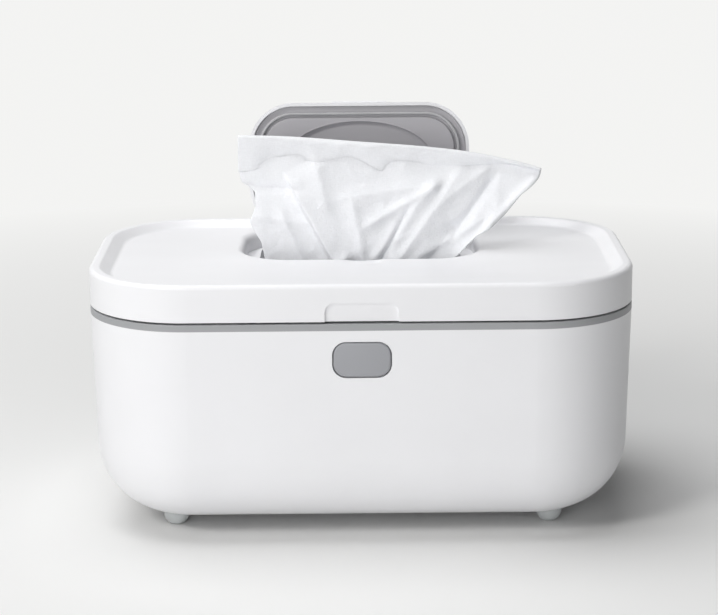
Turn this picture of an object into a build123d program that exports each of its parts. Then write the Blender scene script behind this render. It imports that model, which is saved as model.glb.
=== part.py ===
"""Baby wipe warmer: a heated tub in a rounded housing, with a hinged lid and a dispensing flap.

The frame: the origin lies under the middle of the housing at the level of the feet, the front
faces -Y and +Z is up. The lid is shut and the flap stands open, as in use.
"""

from build123d import *
import math
import os

os.makedirs("parts", exist_ok=True)

# Overall outline
width = 245.0
depth = 150.0
corner_radius = 46.0
wall = 2.5

# Housing
housing_height = 93.3
housing_draft = 1.4
bottom_radius = 33.0

# Feet
foot_height = 6.3
foot_radius = 6.0
foot_flat_radius = 2.2
foot_dome_height = 5.2
foot_seat_depth = 1.0
foot_inset = 37.0

# Tub and its flange, whose edge is the band under the lid
band_height = 3.1
band_edge = 0.5
tub_side_margin = 19.5
tub_end_margin = 19.0
tub_corner = 26.0
tub_wall = 2.0
tub_lift = 15.4
tub_floor_radius = 9.0
tub_mouth_round = 1.2
skirt_height = 3.0
skirt_wall = 1.6

# Lid
seam = 0.9
lid_height = 16.6
lid_edge = 2.0
rim_top = 2.6
rim_inner_edge = 1.6
dish_side_margin = 9.8
dish_end_margin = 7.5
dish_corner = 38.5
dish_crease = 2.5
dish_drop = 3.5
dish_skin = 2.2
notch_width = 32.2
notch_height = 8.3
notch_depth = 1.2
notch_corner = 4.0
scoop_radius = 11.5
scoop_depth = 1.1
scoop_lead = 2.0

# Recess for the flap
recess_width = 109.2
recess_length = 69.0
recess_setback = 11.5
recess_corner = 22.5
recess_drop = 8.1
recess_wall = 2.0
mouth_round = 3.4

# Flap, as it lies when shut
flap_side_gap = 0.9
flap_front_gap = 0.8
flap_rear_gap = 1.0
flap_rear_corner = 28.0
flap_edge = 2.0
flap_depth = 5.5
flap_skirt = 1.6
flap_skin = 1.8
flap_open_angle = 97.0
flap_pin_drop = 2.7
flap_pin_inset = 2.4
flap_pin_radius = 1.0
flap_barrel_radius = 2.3
flap_barrel_length = 10.0
flap_hinge_x = 25.0
flap_ear = 3.0
flap_ear_radius = 2.2
flap_slot_front = 3.3
tab_width = 26.5
tab_proud = 0.6
tab_thickness = 2.0

# The flap's inner plate and its sealing bead
bead_inset = 5.3
bead_rear_inset = 9.4
bead_width = 1.2
bead_height = 2.5
bead_tip = 0.5
plate_rim_thickness = 1.0
plate_channel = 1.3
plate_edge = 0.6
plate_rear_gap = 3.8
pedestal_height = 2.1
oval_width = 71.2
oval_length = 36.8
oval_depth = 2.3
oval_bowl = 2.1
oval_lip = 0.7
oval_lip_height = 0.35
oval_lip_edge = 0.15
oval_shift = 4.0

# Collar round the dispensing opening
collar_height = 2.5
collar_width = 1.6

# Lid liner, its screws and the lid's seal
liner_thickness = 2.0
liner_gap = 0.4
seal_inset = 6.0
seal_width = 4.0
seal_edge = 0.5
lid_post_radius = 3.6
lid_post_side_inset = 34.5
lid_post_end_inset = 35.0
lid_screw_bite = 6.0

# Lid hinge
lid_pin_inset = 3.0
lid_pin_drop = 6.0
lid_pin_radius = 1.5
lid_barrel_radius = 2.9
lid_barrel_length = 16.0
lid_web_front = 1.7
lid_web_rise = 3.0
lid_hinge_inset = 20.5
lid_ear = 5.0
pocket_drop = 4.8

# Button
button_width = 25.3
button_height = 15.6
button_corner = 5.8
button_below_band = 16.3
button_gap = 0.4
button_edge = 1.0
button_dome = 150.0
button_flange = 1.2
button_flange_thickness = 1.2
button_travel = 0.8
stem_radius = 2.2

# Control board, switch and lamp
board_setback = 10.8
board_thickness = 1.6
board_width = 74.0
board_height = 22.0
board_middle = -13.0
board_corner = 2.0
board_post_radius = 2.6
board_post_margin = 4.5
board_screw_bite = 6.0
plug_depth = 5.0
plug_height = 5.0
plug_side = 2.3
chip_side = 7.0
chip_height = 1.2
switch_side = 6.2
switch_height = 3.4
plunger_radius = 1.7
plunger_proud = 1.0
plunger_seat = 1.2
lamp_x = -40.5
lamp_radius = 1.5
lamp_length = 5.5
lamp_leg = 0.35
lamp_window = 0.6

# Base plate
base_side_margin = 44.5
base_end_margin = 39.0
base_corner = 9.0
base_thickness = 3.0
base_ledge = 6.0
base_ledge_thickness = 2.0
base_margin = 2.0
column_radius = 4.0
column_side_inset = 12.0
column_end_inset = 11.0

# Heater stack under the tub's floor
heater_gap = 2.0
heater_end_margin = 14.0
heater_corner = 8.0
spreader_thickness = 1.0
heater_thickness = 0.8
insulation_thickness = 6.0
insulation_margin = 2.0
thermostat_radius = 6.5
thermostat_height = 4.0
thermostat_y = 14.0
fuse_radius = 1.6
fuse_length = 10.0
fuse_y = -14.0
fuse_room = 9.0

# Power inlet
inlet_side_inset = 60.5
inlet_rise = 20.1
inlet_width = 9.0
inlet_height = 11.0
inlet_length = 11.0
inlet_bore = 3.1
inlet_bore_depth = 9.0
inlet_pin_radius = 1.0
inlet_pin_length = 8.0
inlet_seat_setback = 5.0
inlet_recess_radius = 7.0
inlet_recess_depth = 0.9

# Screws
screw_radius = 1.4
screw_head_radius = 2.9
screw_head_height = 1.8
screw_bite = 9.0
small_head_radius = 2.2
small_head_height = 1.2
slot_width = 0.7
slot_depth = 0.7

# Leads
lead_radius = 1.2
power_lead_bend = 7.0
heater_lead_bend = 3.5
lead_gap = 0.9
lead_spacing = 3.0
lead_side_gap = 6.5
lead_turn_inset = 4.0
lead_turn_rise = 2.0
lead_drop_rise = 8.0
lead_board_drop = 10.0
lead_run_in = 6.0
lead_run_across = 22.0
power_plug_x = 9.5
heater_plug_x = -25.5

# Wipes: the stack, and each level of the wipe that is pulled up, from its root to its top
stack_side_gap = 11.0
stack_end_gap = 9.0
stack_corner = 5.0
stack_edge = 2.0
stack_drop = 19.9
wipe_thickness = 1.0
wipe_swing = 3.0
wipe_root_half = 30.0
wipe_root_y = 20.0
wipe_neck_left = 40.0
wipe_neck_right = 38.0
wipe_neck_y = 12.0
wipe_neck_swing = 2.5
wipe_mouth_left = 45.0
wipe_mouth_right = 44.0
wipe_mouth_rise = 1.0
wipe_waist_left = 50.0
wipe_waist_right = 68.0
wipe_waist_y = 16.0
wipe_waist_rise = 17.0
wipe_waist_swing = 4.0
wipe_waist_lean = 2.0
wipe_top_left = 57.0
wipe_top_right = 84.0
wipe_top_y = 22.0
wipe_top_rise = 40.6
wipe_top_lean = 6.5

# Clearances
fit = 0.05
loose = 0.3
hinge_gap = 0.4

# Levels and places worked out from the sizes above
underside = foot_height
housing_top = underside + housing_height
band_top = housing_top + band_height
lid_bottom = band_top + seam
lid_top = lid_bottom + lid_height
dish_floor = lid_top - dish_drop
lid_ceiling = dish_floor - dish_skin
recess_floor = dish_floor - recess_drop
well_bottom = recess_floor - recess_wall
liner_bottom = well_bottom - liner_thickness
front_face = -depth / 2
rear_face = depth / 2
recess_back = rear_face - recess_setback
recess_front = recess_back - recess_length
recess_middle = recess_back - recess_length / 2
draft_per_mm = math.tan(math.radians(housing_draft))

base_top = underside + base_thickness
ledge_top = base_top + base_ledge_thickness
base_width = width - 2 * base_side_margin
base_depth = depth - 2 * base_end_margin
column_x = base_width / 2 - column_side_inset
column_y = base_depth / 2 - column_end_inset
tub_width = width - 2 * tub_side_margin
tub_depth = depth - 2 * tub_end_margin
tub_under = base_top + tub_lift
tub_floor = tub_under + tub_wall
lid_hinge_x = width / 2 - corner_radius - lid_hinge_inset
lid_post_x = width / 2 - lid_post_side_inset
lid_post_y = depth / 2 - lid_post_end_inset

lid_pin_y = rear_face - lid_pin_inset
lid_pin_z = lid_bottom - lid_pin_drop
pocket_floor = lid_pin_z - pocket_drop
pocket_front = lid_pin_y - lid_barrel_radius - hinge_gap
lid_barrel_half = lid_barrel_length / 2
lid_hinge_half = lid_barrel_half + hinge_gap + lid_ear

flap_top = dish_floor
flap_bottom = flap_top - flap_depth
flap_ceiling = flap_top - flap_skin
flap_front = recess_front + flap_front_gap
flap_back = recess_back - flap_rear_gap
flap_middle = (flap_front + flap_back) / 2
flap_width = recess_width - 2 * flap_side_gap
flap_length = flap_back - flap_front
flap_corner = recess_corner - flap_side_gap
flap_pin_y = flap_back - flap_pin_inset
flap_pin_z = flap_top - flap_pin_drop
flap_barrel_half = flap_barrel_length / 2
flap_pin_axis = Axis((0, flap_pin_y, flap_pin_z), (1, 0, 0))

bead_front = flap_front + bead_inset
bead_back = flap_back - bead_rear_inset
bead_middle = (bead_front + bead_back) / 2
bead_across = flap_width - 2 * bead_inset
bead_along = bead_back - bead_front
bead_corner = flap_corner - bead_inset
plate_lower = flap_ceiling - plate_rim_thickness
pedestal_lower = plate_lower - pedestal_height
bead_lower = plate_lower - bead_height
collar_top = recess_floor + collar_height
opening_size = (bead_across - collar_width, bead_along - collar_width, bead_corner - collar_width / 2)

button_z = band_top - button_below_band
front_wall = front_face + draft_per_mm * (housing_top - button_z)
button_reach = button_below_band + button_height
flange_front = front_face + wall + draft_per_mm * button_reach
flange_back = flange_front + button_flange_thickness
board_front = front_face + board_setback
board_back = board_front + board_thickness
board_bottom = button_z - board_height / 2
switch_front = board_front - switch_height
plunger_front = switch_front - plunger_proud
plunger_back = switch_front + plunger_seat
lamp_front = front_wall + lamp_window + loose
lamp_back = lamp_front + lamp_length
plug_front = board_front - plug_depth
plug_middle = board_front - plug_depth / 2
inlet_x = width / 2 - inlet_side_inset
inlet_z = tub_floor + inlet_rise
inlet_wall = rear_face - draft_per_mm * (housing_top - inlet_z)
inlet_face = rear_face - inlet_seat_setback
inlet_back = inlet_face - inlet_length
inlet_bore_end = inlet_face - inlet_bore_depth

heater_width = 2 * (column_x - column_radius - insulation_margin - heater_gap)
heater_depth = tub_depth - 2 * heater_end_margin
spreader_lower = tub_under - spreader_thickness
heater_lower = spreader_lower - heater_thickness
insulation_lower = heater_lower - insulation_thickness
thermostat_lower = heater_lower - thermostat_height
fuse_z = heater_lower - fuse_radius
stack_top = band_top - stack_drop

four_ways = [(-1, -1), (1, -1), (-1, 1), (1, 1)]
foot_places = [(a * (width / 2 - foot_inset), b * (depth / 2 - foot_inset)) for a, b in four_ways]
column_places = [(a * column_x, b * column_y) for a, b in four_ways]
lid_post_places = [(a * lid_post_x, b * lid_post_y) for a, b in four_ways]
board_post_x = board_width / 2 - board_post_margin
board_post_z = board_height / 2 - board_post_margin
board_post_places = [
    (board_middle - board_post_x, button_z + board_post_z),
    (board_middle + board_post_x, button_z - board_post_z),
]


def rounded_block(size, low, high, middle=(0.0, 0.0), mode=Mode.ADD):
    """An upright prism of (width, depth, corner radius), from the level low to the level high."""
    x_size, y_size, corner = size
    with BuildSketch(Plane.XY.offset(low)) as shape:
        with Locations(middle):
            RectangleRounded(x_size, y_size, corner)
    extrude(shape.sketch, amount=high - low, mode=mode)


def grown(size, by):
    """The same rounded outline moved outwards by the given distance."""
    x_size, y_size, corner = size
    return (x_size + 2 * by, y_size + 2 * by, corner + by)


def rounded_ring(size, ring, low, high, middle=(0.0, 0.0)):
    """A rounded frame whose outer size is given, ring wide, from low to high."""
    inner_x, inner_y, inner_corner = grown(size, -ring)
    outer_x, outer_y, outer_corner = size
    with BuildSketch(Plane.XY.offset(low)) as shape:
        with Locations(middle):
            RectangleRounded(outer_x, outer_y, outer_corner)
            RectangleRounded(inner_x, inner_y, inner_corner, mode=Mode.SUBTRACT)
    extrude(shape.sketch, amount=high - low)


def block(low, high, mode=Mode.ADD):
    """A square block between two opposite corners."""
    size = [b - a for a, b in zip(low, high)]
    with Locations(tuple((a + b) / 2 for a, b in zip(low, high))):
        Box(*size, mode=mode)


def posts(places, radius, low, high, mode=Mode.ADD):
    """Round posts, or holes, from the level low to the level high."""
    with BuildSketch(Plane.XY.offset(low)) as shape:
        with Locations(*places):
            Circle(radius)
    extrude(shape.sketch, amount=high - low, mode=mode)


def bars(places, radius, y_low, y_high, mode=Mode.ADD):
    """Round bars, or holes, along Y at each (x, z) place."""
    with BuildSketch(Plane.XZ.offset(-y_low)) as shape:
        with Locations(*places):
            Circle(radius)
    extrude(shape.sketch, amount=y_low - y_high, mode=mode)


def axle(x_low, x_high, radius, y, z, mode=Mode.ADD):
    """A round bar, or bore, along X."""
    with BuildSketch(Plane.YZ.offset(x_low)) as shape:
        with Locations((y, z)):
            Circle(radius)
    extrude(shape.sketch, amount=x_high - x_low, mode=mode)


def front_plate(size, y_low, y_high, middle, mode=Mode.ADD):
    """An upright plate of (width, height, corner radius) that faces the front."""
    x_size, z_size, corner = size
    with BuildSketch(Plane.XZ.offset(-y_low)) as shape:
        with Locations(middle):
            RectangleRounded(x_size, z_size, corner)
    extrude(shape.sketch, amount=y_low - y_high, mode=mode)


def screws(places, head_radius, head_low, head_high, tip):
    """Screws with crossed slots that stand upright, their heads down, to the level tip."""
    posts(places, head_radius, head_low, head_high)
    posts(places, screw_radius, head_low, tip)
    for turn in (0, 90):
        with BuildSketch(Plane.XY.offset(head_low)) as shape:
            with Locations(*places):
                Rectangle(head_radius * 1.3, slot_width, rotation=turn)
        extrude(shape.sketch, amount=slot_depth, mode=Mode.SUBTRACT)


def level_face(part, level):
    """The largest face that lies at the given level."""
    flat = part.faces().filter_by(GeomType.PLANE)
    return flat.filter_by_position(Axis.Z, level - fit / 2, level + fit / 2).sort_by(SortBy.AREA)[-1]


def lead(route, bend):
    """A sleeved wire along straight runs with rounded turns."""
    with BuildLine():
        run = FilletPolyline(*route, radius=bend)
    with BuildSketch(Plane(origin=run @ 0, z_dir=run % 0)) as shape:
        Circle(lead_radius)
    sweep(shape.sketch, path=run)
    print("lead of", round(run.length), "mm, bends of", bend, "mm")


def flap_block(inset, low, high, mode=Mode.ADD):
    """The flap's own outline, moved inwards; its rear corners are rounder, to clear the recess."""
    with BuildSketch(Plane.XY.offset(low)) as shape:
        with Locations((0, flap_middle)):
            Rectangle(flap_width - 2 * inset, flap_length - 2 * inset)
        fillet(shape.vertices().group_by(Axis.Y)[0], radius=flap_corner - inset)
        fillet(shape.vertices().group_by(Axis.Y)[-1], radius=flap_rear_corner - inset)
    extrude(shape.sketch, amount=high - low, mode=mode)


def opened(part):
    """A piece of the flap turned from shut to open about the flap's pin."""
    return part.rotate(flap_pin_axis, -flap_open_angle)


def finish(part, name):
    """Labels a piece and writes it."""
    part.label = name
    export_step(part, f"parts/{name}.step")


# Outer housing: a drafted shell with a large bottom radius, a ledge for the base plate, seats for
# the feet, the button's hole, the hinge pockets and the seat of the power inlet.
outline = (width, depth, corner_radius)
base_size = (base_width, base_depth, base_corner)

with BuildPart() as housing_hollow:
    with BuildSketch(Plane.XY.offset(housing_top)):
        RectangleRounded(*grown(outline, -wall))
    extrude(amount=wall - housing_height, taper=housing_draft)
    fillet(housing_hollow.edges().group_by(Axis.Z)[0], radius=bottom_radius - wall)

with BuildPart() as outer_housing:
    with BuildSketch(Plane.XY.offset(housing_top)):
        RectangleRounded(*outline)
    extrude(amount=-housing_height, taper=housing_draft)
    fillet(outer_housing.edges().group_by(Axis.Z)[0], radius=bottom_radius)
    add(housing_hollow.part, mode=Mode.SUBTRACT)
    rounded_block(grown(base_size, base_margin), underside + wall / 2, ledge_top)
    rounded_block(grown(base_size, loose), underside, base_top, mode=Mode.SUBTRACT)
    rounded_block(grown(base_size, -base_ledge), underside, ledge_top, mode=Mode.SUBTRACT)
    posts(foot_places, foot_radius + fit, underside, underside + foot_seat_depth, mode=Mode.SUBTRACT)
    button_hole = grown((button_width, button_height, button_corner), button_gap)
    front_plate(button_hole, front_face, front_face + 2 * wall, (0, button_z), mode=Mode.SUBTRACT)
    bars(board_post_places, board_post_radius, front_face + wall, board_front)
    screw_end = board_back - board_screw_bite
    bars(board_post_places, screw_radius + fit, screw_end, board_front, mode=Mode.SUBTRACT)
    lamp_room = front_wall + lamp_window
    bars([(lamp_x, button_z)], lamp_radius + 1, lamp_room, front_face + 2 * wall, mode=Mode.SUBTRACT)
    for side in (-1, 1):
        low_x = side * lid_hinge_x - lid_hinge_half - loose
        high_x = side * lid_hinge_x + lid_hinge_half + loose
        block((low_x, pocket_front, pocket_floor - wall), (high_x, rear_face - wall, pocket_floor))
        block((low_x, pocket_front, pocket_floor), (high_x, rear_face, housing_top), mode=Mode.SUBTRACT)
    block(
        (inlet_x - inlet_width / 2 - wall, inlet_face, inlet_z - inlet_height / 2 - wall),
        (inlet_x + inlet_width / 2 + wall, inlet_wall - wall / 2, inlet_z + inlet_height / 2 + wall),
    )
    inlet_place = [(inlet_x, inlet_z)]
    bars(inlet_place, inlet_bore + 0.5, inlet_face, rear_face, mode=Mode.SUBTRACT)
    inlet_rim = inlet_wall - inlet_recess_depth
    bars(inlet_place, inlet_recess_radius, inlet_rim, rear_face, mode=Mode.SUBTRACT)
finish(outer_housing.part, "outer_housing")

# Inner tub: the bowl, the flange whose edge is the grey band, the skirt that centres it in the
# housing, the columns that the base plate's screws bite into, and the ears of the lid's hinge.
tub_size = (tub_width, tub_depth, tub_corner)

with BuildPart() as tub_space:
    rounded_block(tub_size, tub_floor, band_top)
    fillet(tub_space.edges().group_by(Axis.Z)[0], radius=tub_floor_radius)

with BuildPart() as inner_tub:
    rounded_block(grown(tub_size, tub_wall), tub_under, band_top)
    fillet(inner_tub.edges().group_by(Axis.Z)[0], radius=tub_floor_radius + tub_wall)
    rounded_block(outline, housing_top, band_top)
    fillet(inner_tub.edges().group_by(Axis.Z)[-1], radius=band_edge)
    rounded_ring(grown(outline, -wall - loose), skirt_wall, housing_top - skirt_height, housing_top)
    add(tub_space.part, mode=Mode.SUBTRACT)
    mouth = level_face(inner_tub, band_top).inner_wires()[0]
    fillet(mouth.edges(), radius=tub_mouth_round)
    posts(column_places, column_radius, base_top, tub_under)
    posts(column_places, screw_radius + fit, base_top, base_top + screw_bite, mode=Mode.SUBTRACT)
    for side in (-1, 1):
        centre = side * lid_hinge_x
        gap_half = lid_barrel_half + hinge_gap
        block(
            (centre - lid_hinge_half, pocket_front - skirt_wall, pocket_floor + loose),
            (centre + lid_hinge_half, rear_face - loose, housing_top),
        )
        block(
            (centre - gap_half, pocket_front, pocket_floor),
            (centre + gap_half, rear_face, band_top),
            mode=Mode.SUBTRACT,
        )
        bore_ends = (centre - lid_hinge_half, centre + lid_hinge_half)
        axle(*bore_ends, lid_pin_radius + fit, lid_pin_y, lid_pin_z, mode=Mode.SUBTRACT)
finish(inner_tub.part, "inner_tub")

with BuildPart() as lid_hinge_pins:
    for side in (-1, 1):
        low_x = side * lid_hinge_x - lid_hinge_half
        axle(low_x, low_x + 2 * lid_hinge_half, lid_pin_radius, lid_pin_y, lid_pin_z)
finish(lid_hinge_pins.part, "lid_hinge_pins")

# Underside: the base plate, its screws and the feet.
with BuildPart() as base_plate:
    head_seat = underside + screw_head_height
    rounded_block(base_size, underside, base_top)
    posts(column_places, screw_head_radius + loose, underside, head_seat, mode=Mode.SUBTRACT)
    posts(column_places, screw_radius + loose, underside, base_top, mode=Mode.SUBTRACT)
finish(base_plate.part, "base_plate")

with BuildPart() as base_screws:
    head_seat = underside + screw_head_height
    screws(column_places, screw_head_radius, underside, head_seat, base_top + screw_bite - loose)
finish(base_screws.part, "base_screws")

with BuildPart() as one_foot:
    foot_top = underside + foot_seat_depth
    dome_centre_x = foot_radius**2 - foot_flat_radius**2 - foot_dome_height**2
    dome_centre_x = dome_centre_x / (2 * (foot_radius - foot_flat_radius))
    dome_radius = foot_radius - dome_centre_x
    with BuildSketch(Plane.XZ):
        with BuildLine():
            Line((0, 0), (foot_flat_radius, 0))
            RadiusArc((foot_flat_radius, 0), (foot_radius, foot_dome_height), -dome_radius)
            Polyline((foot_radius, foot_dome_height), (foot_radius, foot_top), (0, foot_top), (0, 0))
        make_face()
    revolve(axis=Axis.Z)

with BuildPart() as rubber_feet:
    with Locations(*[(x, y, 0) for x, y in foot_places]):
        add(one_foot.part)
finish(rubber_feet.part, "rubber_feet")

# Heater stack: the spreader, the heater and the insulation lie under the tub's floor.
heater_size = (heater_width, heater_depth, heater_corner)

with BuildPart() as heat_spreader:
    rounded_block(heater_size, spreader_lower, tub_under)
finish(heat_spreader.part, "heat_spreader")

with BuildPart() as heater_pad:
    rounded_block(heater_size, heater_lower, spreader_lower)
finish(heater_pad.part, "heater_pad")

with BuildPart() as insulation_pad:
    rounded_block(grown(heater_size, insulation_margin), insulation_lower, heater_lower)
    thermostat_hole = [(0, thermostat_y)]
    hole_radius = thermostat_radius + loose
    posts(thermostat_hole, hole_radius, insulation_lower, heater_lower, mode=Mode.SUBTRACT)
    slot_half = fuse_radius + loose
    block(
        (-fuse_length / 2 - fuse_room, fuse_y - slot_half, insulation_lower),
        (fuse_length / 2 + loose, fuse_y + slot_half, heater_lower),
        mode=Mode.SUBTRACT,
    )
finish(insulation_pad.part, "insulation_pad")

with BuildPart() as thermostat:
    posts([(0, thermostat_y)], thermostat_radius, thermostat_lower, heater_lower)
    fillet(thermostat.edges().group_by(Axis.Z)[0], radius=0.6)
finish(thermostat.part, "thermostat")

with BuildPart() as thermal_fuse:
    axle(-fuse_length / 2, fuse_length / 2, fuse_radius, fuse_y, fuse_z)
    fillet(thermal_fuse.edges().group_by(Axis.X)[-1], radius=0.6)
finish(thermal_fuse.part, "thermal_fuse")

# Front button: a slightly domed cap with a flange behind the wall and a stem to the switch.
button_size = (button_width, button_height, button_corner)

with BuildPart() as front_button:
    front_plate(button_size, front_face, flange_front, (0, button_z))
    with Locations((0, front_face + button_dome, button_z)):
        Sphere(button_dome, mode=Mode.INTERSECT)
    fillet(front_button.faces().sort_by(Axis.Y)[0].edges(), radius=button_edge)
    front_plate(grown(button_size, button_flange), flange_front, flange_back, (0, button_z))
    bars([(0, button_z)], stem_radius, flange_back, plunger_front)
finish(front_button.part, "front_button")

with BuildPart() as switch_plunger:
    bars([(0, button_z)], plunger_radius, plunger_front, plunger_back)
finish(switch_plunger.part, "switch_plunger")

# Control board behind the button, with its plugs, the switch and the lamp.
with BuildPart() as power_switch:
    switch_half = switch_side / 2
    block(
        (-switch_half, switch_front, button_z - switch_half),
        (switch_half, board_front, button_z + switch_half),
    )
    plunger_room = plunger_back + button_travel + loose
    bars([(0, button_z)], plunger_radius + fit, switch_front, plunger_room, mode=Mode.SUBTRACT)
finish(power_switch.part, "power_switch")

with BuildPart() as control_board:
    board_size = (board_width, board_height, board_corner)
    front_plate(board_size, board_front, board_back, (board_middle, button_z))
    bars(board_post_places, screw_radius + loose, board_front, board_back, mode=Mode.SUBTRACT)
    plug_top = board_bottom + plug_height
    power_side = lead_radius + plug_side
    heater_side = lead_spacing / 2 + lead_radius + plug_side
    for plug_x, side in ((power_plug_x, power_side), (heater_plug_x, heater_side)):
        block((plug_x - side, plug_front, board_bottom), (plug_x + side, board_front, plug_top))
    block(
        (board_middle - chip_side, board_back, button_z - chip_side / 2),
        (board_middle, board_back + chip_height, button_z + chip_side / 2),
    )
finish(control_board.part, "control_board")

with BuildPart() as board_screws:
    head_back = board_back + small_head_height
    bars(board_post_places, small_head_radius, board_back, head_back)
    bars(board_post_places, screw_radius, board_back - board_screw_bite + loose, head_back)
    for turn in (0, 90):
        with BuildSketch(Plane.XZ.offset(-head_back)):
            with Locations(*board_post_places):
                Rectangle(small_head_radius * 1.3, slot_width, rotation=turn)
        extrude(amount=slot_depth, mode=Mode.SUBTRACT)
finish(board_screws.part, "board_screws")

with BuildPart() as indicator_lamp:
    bars([(lamp_x, button_z)], lamp_radius, lamp_front, lamp_back)
    fillet(indicator_lamp.edges().group_by(Axis.Y)[0], radius=lamp_radius * 0.8)
    for side in (-1, 1):
        bars([(lamp_x + side * lamp_radius / 2, button_z)], lamp_leg, lamp_back, board_front)
finish(indicator_lamp.part, "indicator_lamp")

# Power inlet at the back: a block with a plug bore and a centre pin.
with BuildPart() as power_inlet:
    block(
        (inlet_x - inlet_width / 2, inlet_back, inlet_z - inlet_height / 2),
        (inlet_x + inlet_width / 2, inlet_face, inlet_z + inlet_height / 2),
    )
    bars([(inlet_x, inlet_z)], inlet_bore, inlet_bore_end, inlet_face, mode=Mode.SUBTRACT)
finish(power_inlet.part, "power_inlet")

with BuildPart() as inlet_pin:
    bars([(inlet_x, inlet_z)], inlet_pin_radius, inlet_bore_end, inlet_bore_end + inlet_pin_length)
    fillet(inlet_pin.edges().group_by(Axis.Y)[-1], radius=inlet_pin_radius / 2)
finish(inlet_pin.part, "inlet_pin")

# Leads: down beside the tub, under the insulation and up to their terminals.
lead_level = ledge_top + lead_radius + lead_gap
turn_in_y = tub_depth / 2 - lead_turn_inset
turn_in_z = lead_level + lead_turn_rise
drop_y = tub_depth / 2 + tub_wall + lead_side_gap
drop_z = tub_floor + lead_drop_rise
rise_z = board_bottom - lead_board_drop

with BuildPart() as power_leads:
    inlet_lead_y = (inlet_back + inlet_face) / 2
    lead(
        [
            (inlet_x, inlet_lead_y, inlet_z - inlet_height / 2),
            (inlet_x, inlet_lead_y, drop_z - lead_turn_rise),
            (inlet_x - lead_run_in, turn_in_y, turn_in_z),
            (inlet_x - lead_run_across, tub_depth / 4, lead_level),
            (power_plug_x, -tub_depth / 4, lead_level),
            (power_plug_x, -turn_in_y, turn_in_z),
            (power_plug_x, -drop_y, drop_z),
            (power_plug_x, plug_middle, rise_z),
            (power_plug_x, plug_middle, board_bottom),
        ],
        power_lead_bend,
    )
finish(power_leads.part, "power_leads")

with BuildPart() as heater_leads:
    fuse_lead_x = heater_plug_x + lead_spacing / 2
    fuse_turn_x = -fuse_length / 2 - fuse_room + lead_radius + loose
    lead(
        [
            (fuse_lead_x, plug_middle, board_bottom),
            (fuse_lead_x, plug_middle, rise_z),
            (fuse_lead_x, -drop_y, drop_z),
            (fuse_lead_x, -turn_in_y, turn_in_z),
            (fuse_lead_x, -tub_depth / 4, lead_level),
            (fuse_turn_x - lead_run_in, fuse_y, lead_level),
            (fuse_turn_x, fuse_y, lead_level),
            (fuse_turn_x, fuse_y, fuse_z),
            (-fuse_length / 2, fuse_y, fuse_z),
        ],
        heater_lead_bend,
    )
    thermostat_lead_x = heater_plug_x - lead_spacing / 2
    lead(
        [
            (thermostat_lead_x, plug_middle, board_bottom),
            (thermostat_lead_x, plug_middle, rise_z),
            (thermostat_lead_x, -drop_y, drop_z),
            (thermostat_lead_x, -turn_in_y, turn_in_z),
            (thermostat_lead_x, -tub_depth / 4, lead_level),
            (thermostat_lead_x, 0, lead_level),
            (-thermostat_radius, thermostat_y, lead_level),
            (0, thermostat_y, lead_level),
            (0, thermostat_y, thermostat_lower),
        ],
        heater_lead_bend,
    )
finish(heater_leads.part, "heater_leads")

# Lid shell: rim and dish above, the recess with its well and collar, the ears of the flap's
# hinge, posts for the liner's screws, the finger notch and the knuckles of the lid's hinge.
recess_size = (recess_width, recess_length, recess_corner)
recess_place = (0, recess_middle)
bead_size = (bead_across, bead_along, bead_corner)
bead_place = (0, bead_middle)

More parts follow.
